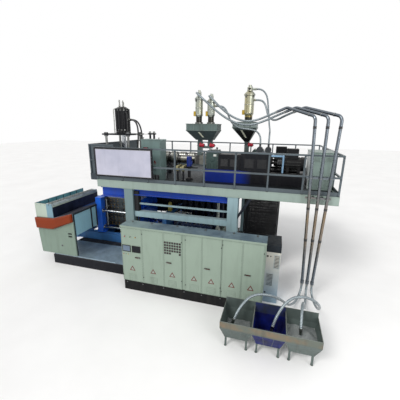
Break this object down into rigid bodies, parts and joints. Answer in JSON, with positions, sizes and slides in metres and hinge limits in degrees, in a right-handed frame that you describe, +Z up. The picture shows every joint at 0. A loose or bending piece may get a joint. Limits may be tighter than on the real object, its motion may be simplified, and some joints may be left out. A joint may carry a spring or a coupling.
{
  "type": "blow moulding machine",
  "caption": "Blow moulding machine: accumulator head and extruders on a railed deck, mould clamp below, control cabinet in front, granule bins with suction hoses at the right.",
  "frame": {"origin": "on the floor, on the axis of the accumulator head, at the underside of the machine base", "axes": "+X along the machine to the right, from the head towards the extruder drives; +Y to the back, away from the control cabinet; +Z up"},
  "size_m": [9.3, 7.142, 5.94],
  "materials": {
    "bar_steel": "polished",
    "barrel_steel": "satin",
    "base_blue": "satin",
    "base_dark": "satin",
    "bin_grey": "satin",
    "box_green": "satin",
    "cabinet_green": "satin",
    "chiller_white": "satin",
    "column_pale": "satin",
    "deck_green": "satin",
    "deck_steel": "satin",
    "gate_red": "gloss",
    "gearbox_green": "satin",
    "girder_blue": "satin",
    "guard_green": "satin",
    "guard_orange": "gloss",
    "handle_black": "matt",
    "head_steel": "satin",
    "hopper_green": "satin",
    "hose_black": "matt",
    "hose_clear": "gloss",
    "housing_dark": "satin",
    "jack_black": "satin",
    "loader_steel": "satin",
    "mesh_black": "satin",
    "motor_black": "satin",
    "mould_alloy": "satin",
    "pipe_steel": "satin",
    "platen_blue": "satin",
    "plinth_black": "satin",
    "rail_grey": "satin",
    "screen_grey": "satin",
    "sign_panel": "satin",
    "skid_blue": "satin",
    "tread_steel": "satin",
    "unit_green": "satin"
  },
  "bodies": {
    "root": {"cabinet_plinth": "plinth_black", "cabinet_shell": "cabinet_green", "chiller": "chiller_white", "clamp_cylinders": "platen_blue", "clamp_frame": "base_blue", "conveying_pipes": "pipe_steel", "cross_girders": "girder_blue", "deck_cabinets": "box_green", "deck_columns": "column_pale", "deck_frame": "deck_green", "deck_plate": "deck_steel", "deck_railings": "rail_grey", "drive_housings": "housing_dark", "extruder_barrels": "barrel_steel", "extruder_base": "skid_blue", "extruder_motors": "motor_black", "gearboxes": "gearbox_green", "granule_bins": "bin_grey", "guard_screen": "screen_grey", "guard_tray": "guard_green", "head_body": "head_steel", "head_cylinder": "jack_black", "head_frame": "head_steel", "head_hoses": "hose_black", "hopper_loaders": "loader_steel", "hoppers": "hopper_green", "hydraulic_unit": "unit_green", "loader_hoses": "hose_clear", "machine_base": "base_dark", "mesh_guard": "mesh_black", "sign_board": "sign_panel", "suction_hoses": "hose_clear", "tie_bars": "bar_steel", "tread_plate": "tread_steel", "vacuum_pumps": "motor_black"},
    "door_1": {"cabinet_door_1": "cabinet_green"},
    "door_2": {"cabinet_door_2": "cabinet_green"},
    "door_3": {"cabinet_door_3": "cabinet_green"},
    "door_4": {"cabinet_door_4": "cabinet_green"},
    "door_5": {"cabinet_door_5": "cabinet_green"},
    "door_6": {"cabinet_door_6": "cabinet_green"},
    "door_7": {"cabinet_door_7": "cabinet_green"},
    "handle_1": {"door_handle_1": "handle_black"},
    "handle_3": {"door_handle_3": "handle_black"},
    "handle_5": {"door_handle_5": "handle_black"},
    "handle_7": {"door_handle_7": "handle_black"},
    "left_platen": {"platen_left": "platen_blue", "mould_half_left": "mould_alloy", "clamp_rod_left": "bar_steel"},
    "right_platen": {"platen_right": "platen_blue", "mould_half_right": "mould_alloy", "clamp_rod_right": "bar_steel"},
    "gate": {"safety_gate": "guard_green", "safety_gate_hood": "guard_orange"},
    "ram": {"head_ram": "bar_steel"},
    "screw_a": {"extruder_screw_a": "bar_steel"},
    "screw_b": {"extruder_screw_b": "bar_steel"},
    "slide_1": {"slide_gate_1": "gate_red"},
    "slide_2": {"slide_gate_2": "gate_red"},
    "slide_3": {"slide_gate_3": "gate_red"}
  },
  "joints": [
    {"name": "door_1_hinge", "type": "hinge", "parent": "root", "child": "door_1", "pos_m": [1.501, -2.904, 1], "axis": [0, 0, -1], "range_deg": [0, 110]},
    {"name": "door_2_hinge", "type": "hinge", "parent": "root", "child": "door_2", "pos_m": [2.141, -2.904, 1], "axis": [0, 0, -1], "range_deg": [0, 110]},
    {"name": "door_3_hinge", "type": "hinge", "parent": "root", "child": "door_3", "pos_m": [3.299, -2.904, 1], "axis": [0, 0, 1], "range_deg": [0, 90]},
    {"name": "door_4_hinge", "type": "hinge", "parent": "root", "child": "door_4", "pos_m": [3.391, -2.904, 1], "axis": [0, 0, -1], "range_deg": [0, 90]},
    {"name": "door_5_hinge", "type": "hinge", "parent": "root", "child": "door_5", "pos_m": [4.364, -2.904, 1], "axis": [0, 0, 1], "range_deg": [0, 85]},
    {"name": "door_6_hinge", "type": "hinge", "parent": "root", "child": "door_6", "pos_m": [4.376, -2.904, 1], "axis": [0, 0, -1], "range_deg": [0, 85]},
    {"name": "door_7_hinge", "type": "hinge", "parent": "root", "child": "door_7", "pos_m": [5.409, -2.904, 1], "axis": [0, 0, 1], "range_deg": [0, 90]},
    {"name": "handle_1_turn", "type": "hinge", "parent": "door_1", "child": "handle_1", "pos_m": [2.043, -2.9173, 1.08], "axis": [0, 1, 0], "range_deg": [0, 90]},
    {"name": "handle_3_turn", "type": "hinge", "parent": "door_3", "child": "handle_3", "pos_m": [2.877, -2.9173, 1.08], "axis": [0, 1, 0], "range_deg": [-90, 0]},
    {"name": "handle_5_turn", "type": "hinge", "parent": "door_5", "child": "handle_5", "pos_m": [3.947, -2.9173, 1.08], "axis": [0, 1, 0], "range_deg": [-90, 0]},
    {"name": "handle_7_turn", "type": "hinge", "parent": "door_7", "child": "handle_7", "pos_m": [4.987, -2.9173, 1.08], "axis": [0, 1, 0], "range_deg": [-90, 0]},
    {"name": "left_platen_slide", "type": "slide", "parent": "root", "child": "left_platen", "axis": [-1, 0, 0], "range_m": [0, 0.4]},
    {"name": "right_platen_slide", "type": "slide", "parent": "root", "child": "right_platen", "axis": [1, 0, 0], "range_m": [0, 0.4]},
    {"name": "gate_slide", "type": "slide", "parent": "root", "child": "gate", "axis": [1, 0, 0], "range_m": [0, 1.4]},
    {"name": "ram_slide", "type": "slide", "parent": "root", "child": "ram", "axis": [0, 0, 1], "range_m": [0, 0.35]},
    {"name": "screw_a_turn", "type": "hinge", "parent": "root", "child": "screw_a", "pos_m": [2, -0.4, 3.585], "axis": [1, 0, 0], "continuous": true},
    {"name": "screw_b_turn", "type": "hinge", "parent": "root", "child": "screw_b", "pos_m": [2, 0.4, 3.585], "axis": [1, 0, 0], "continuous": true},
    {"name": "slide_gate_1_pull", "type": "slide", "parent": "root", "child": "slide_1", "axis": [1, 0, 0], "range_m": [0, 0.1]},
    {"name": "slide_gate_2_pull", "type": "slide", "parent": "root", "child": "slide_2", "axis": [1, 0, 0], "range_m": [0, 0.1]},
    {"name": "slide_gate_3_pull", "type": "slide", "parent": "root", "child": "slide_3", "axis": [1, 0, 0], "range_m": [0, 0.1]}
  ],
  "couplings": [
    {"joint": "right_platen_slide", "follows": "left_platen_slide", "ratio": 1}
  ]
}
